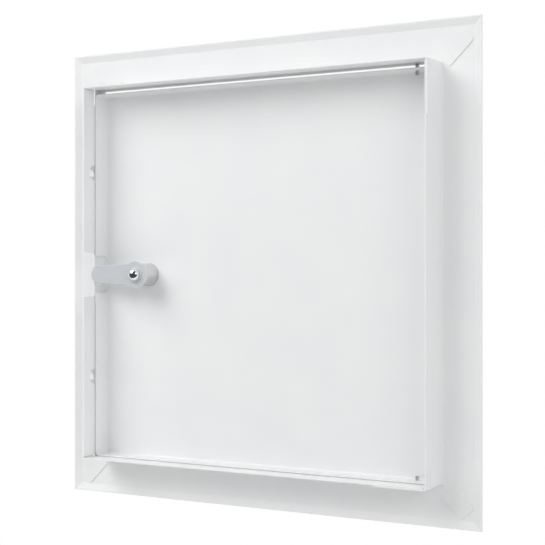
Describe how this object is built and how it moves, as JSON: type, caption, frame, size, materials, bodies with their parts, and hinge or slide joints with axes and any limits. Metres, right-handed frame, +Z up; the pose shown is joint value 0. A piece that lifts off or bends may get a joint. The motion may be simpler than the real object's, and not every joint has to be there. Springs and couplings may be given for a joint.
{
  "type": "access panel",
  "caption": "Flush square access panel: folded sheet frame with lapped collar corners, pan door on pivot pins and a quarter-turn cam lock.",
  "frame": {"origin": "middle of the bottom lip's rear land, on the wall's surface", "axes": "+Z up, +Y into the wall (back of the panel), +X towards the latch side; the room side faces -Y"},
  "size_m": [0.36, 0.0316, 0.36],
  "materials": {
    "frame_paint": "white powder coat, semi-gloss",
    "door_paint": "white powder coat, semi-gloss",
    "pin_steel": "bright steel",
    "lock_metal": "light grey satin",
    "tongue_steel": "zinc-plated, satin",
    "screw_chrome": "bright nickel"
  },
  "bodies": {
    "frame": {"frame_top": "frame_paint", "frame_bottom": "frame_paint", "frame_hinge_side": "frame_paint", "frame_latch_side": "frame_paint", "corner_strap_top_latch": "frame_paint", "corner_strap_bottom_latch": "frame_paint", "corner_strap_bottom_hinge": "frame_paint", "corner_strap_top_hinge": "frame_paint", "hinge_pin_top": "pin_steel", "hinge_pin_bottom": "pin_steel"},
    "door": {"door_leaf": "door_paint", "lock_barrel": "lock_metal"},
    "cam": {"lock_core": "lock_metal", "lock_tongue": "tongue_steel", "tongue_washer": "tongue_steel", "tongue_screw": "screw_chrome"}
  },
  "joints": [
    {"name": "door_hinge", "type": "hinge", "parent": "frame", "child": "door", "pos_m": [-0.1325, 0.0034, 0.1795], "axis": [0, 0, -1], "range_deg": [0, 105]},
    {"name": "cam_turn", "type": "hinge", "parent": "door", "child": "cam", "pos_m": [0.1053, 0.0148, 0.1784], "axis": [0, 1, 0], "range_deg": [0, 90]}
  ]
}
